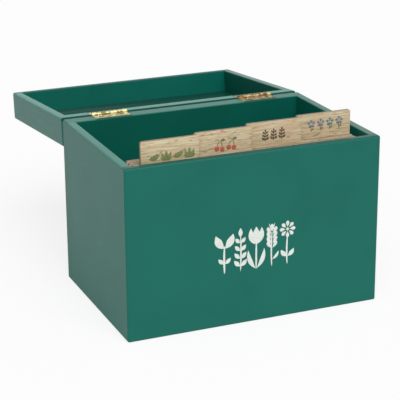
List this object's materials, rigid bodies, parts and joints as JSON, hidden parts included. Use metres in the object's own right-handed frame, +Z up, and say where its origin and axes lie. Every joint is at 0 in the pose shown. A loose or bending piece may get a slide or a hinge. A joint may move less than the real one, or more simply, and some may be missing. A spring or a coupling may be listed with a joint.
{
  "type": "garden seed organizer box",
  "caption": "Painted wooden box for seed packets with a hinged tray-like lid thrown open and thin wooden index dividers whose tabs step across it.",
  "frame": {"origin": "centre of the box's footprint, on the surface it stands on", "axes": "+Z up, +Y from the front panel to the back panel and the hinges, +X to the right as seen from the front"},
  "size_m": [0.24, 0.3316, 0.1734],
  "materials": {
    "painted_board": "satin green paint",
    "divider_wood": "bare sanded",
    "hinge_brass": "polished",
    "brass_screw": "polished"
  },
  "bodies": {
    "box": {"front_panel": "painted_board", "back_panel": "painted_board", "left_side": "painted_board", "right_side": "painted_board", "base_panel": "painted_board", "left_hinge_body_leaf": "hinge_brass", "left_hinge_pin": "hinge_brass", "left_hinge_body_screws": "brass_screw", "right_hinge_body_leaf": "hinge_brass", "right_hinge_pin": "hinge_brass", "right_hinge_body_screws": "brass_screw"},
    "lid": {"lid_top_panel": "painted_board", "lid_front_rail": "painted_board", "lid_back_rail": "painted_board", "lid_left_rail": "painted_board", "lid_right_rail": "painted_board", "left_hinge_lid_leaf": "hinge_brass", "left_hinge_lid_screws": "brass_screw", "right_hinge_lid_leaf": "hinge_brass", "right_hinge_lid_screws": "brass_screw"},
    "divider_1": {"index_divider_1": "divider_wood"},
    "divider_2": {"index_divider_2": "divider_wood"},
    "divider_3": {"index_divider_3": "divider_wood"},
    "divider_4": {"index_divider_4": "divider_wood"}
  },
  "joints": [
    {"name": "lid_hinge", "type": "hinge", "parent": "box", "child": "lid", "pos_m": [0, 0.0838, 0.1563], "axis": [1, 0, 0], "range_deg": [0, 185.41]},
    {"name": "divider_1_slide", "type": "slide", "parent": "box", "child": "divider_1", "axis": [0, 1, 0], "range_m": [0, 0.024]},
    {"name": "divider_2_slide", "type": "slide", "parent": "divider_1", "child": "divider_2", "axis": [0, 1, 0], "range_m": [0, 0.024]},
    {"name": "divider_3_slide", "type": "slide", "parent": "divider_2", "child": "divider_3", "axis": [0, 1, 0], "range_m": [0, 0.024]},
    {"name": "divider_4_slide", "type": "slide", "parent": "divider_3", "child": "divider_4", "axis": [0, 1, 0], "range_m": [0, 0.024]}
  ]
}
